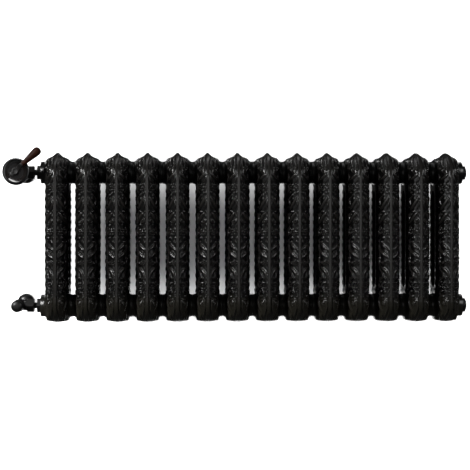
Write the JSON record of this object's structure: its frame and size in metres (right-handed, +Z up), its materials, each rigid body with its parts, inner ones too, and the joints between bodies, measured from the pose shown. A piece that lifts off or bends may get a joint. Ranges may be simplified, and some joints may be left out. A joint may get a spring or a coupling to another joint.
{
  "type": "radiator with valve",
  "caption": "Ornamental cast-iron column radiator hung on a wall, with a lever valve carrying a dial and wooden grip, and a capped lockshield valve.",
  "frame": {"origin": "in the wall plane behind the middle of the row of sections, at the height of the lower tapping axis", "axes": "+X along the row towards the end with the blank plugs, +Z up, -Y out of the wall into the room"},
  "size_m": [1.2383, 0.2436, 0.4627],
  "materials": {
    "cast_iron_black": "gloss black paint over ornamental castings",
    "nipple_iron": "bare malleable iron",
    "fitting_black": "gloss black paint",
    "valve_black": "black painted brass",
    "nut_black": "black painted brass",
    "tail_brass": "black painted brass",
    "bonnet_brass": "turned brass",
    "spindle_steel": "turned stainless steel",
    "dial_enamel": "dark enamelled index dial with a gloss rim",
    "lever_metal": "black lacquered brass",
    "grip_wood": "turned dark red-brown hardwood, oiled",
    "cap_black": "smooth black moulded cap"
  },
  "bodies": {
    "radiator": {"section_01": "cast_iron_black", "section_02": "cast_iron_black", "section_03": "cast_iron_black", "section_04": "cast_iron_black", "section_05": "cast_iron_black", "section_06": "cast_iron_black", "section_07": "cast_iron_black", "section_08": "cast_iron_black", "section_09": "cast_iron_black", "section_10": "cast_iron_black", "section_11": "cast_iron_black", "section_12": "cast_iron_black", "section_13": "cast_iron_black", "section_14": "cast_iron_black", "nipple_upper_01": "nipple_iron", "nipple_upper_02": "nipple_iron", "nipple_upper_03": "nipple_iron", "nipple_upper_04": "nipple_iron", "nipple_upper_05": "nipple_iron", "nipple_upper_06": "nipple_iron", "nipple_upper_07": "nipple_iron", "nipple_upper_08": "nipple_iron", "nipple_upper_09": "nipple_iron", "nipple_upper_10": "nipple_iron", "nipple_upper_11": "nipple_iron", "nipple_upper_12": "nipple_iron", "nipple_upper_13": "nipple_iron", "nipple_lower_01": "nipple_iron", "nipple_lower_02": "nipple_iron", "nipple_lower_03": "nipple_iron", "nipple_lower_04": "nipple_iron", "nipple_lower_05": "nipple_iron", "nipple_lower_06": "nipple_iron", "nipple_lower_07": "nipple_iron", "nipple_lower_08": "nipple_iron", "nipple_lower_09": "nipple_iron", "nipple_lower_10": "nipple_iron", "nipple_lower_11": "nipple_iron", "nipple_lower_12": "nipple_iron", "nipple_lower_13": "nipple_iron", "bushing_upper": "fitting_black", "bushing_lower": "fitting_black", "plug_upper": "fitting_black", "plug_lower": "fitting_black", "valve_body": "valve_black", "valve_wall_tube": "valve_black", "lockshield_body": "valve_black", "lockshield_wall_tube": "valve_black", "valve_union_nut": "nut_black", "lockshield_union_nut": "nut_black", "valve_tail": "tail_brass", "lockshield_tail": "tail_brass", "valve_bonnet": "bonnet_brass", "valve_dial": "dial_enamel"},
    "lever": {"valve_spindle": "spindle_steel", "valve_lever": "lever_metal", "valve_grip": "grip_wood"},
    "cap": {"lockshield_cap": "cap_black"},
    "lock_spindle": {"lockshield_spindle": "spindle_steel"}
  },
  "joints": [
    {"name": "lever_turn", "type": "hinge", "parent": "radiator", "child": "lever", "pos_m": [-0.625, -0.15, 0.356], "axis": [0, -1, 0], "range_deg": [-10, 80]},
    {"name": "cap_pull", "type": "slide", "parent": "radiator", "child": "cap", "axis": [0, -1, 0], "range_m": [0, 0.04]},
    {"name": "lockshield_turn", "type": "hinge", "parent": "radiator", "child": "lock_spindle", "pos_m": [-0.625, -0.15, 0], "axis": [0, -1, 0], "range_deg": [0, 90]}
  ]
}
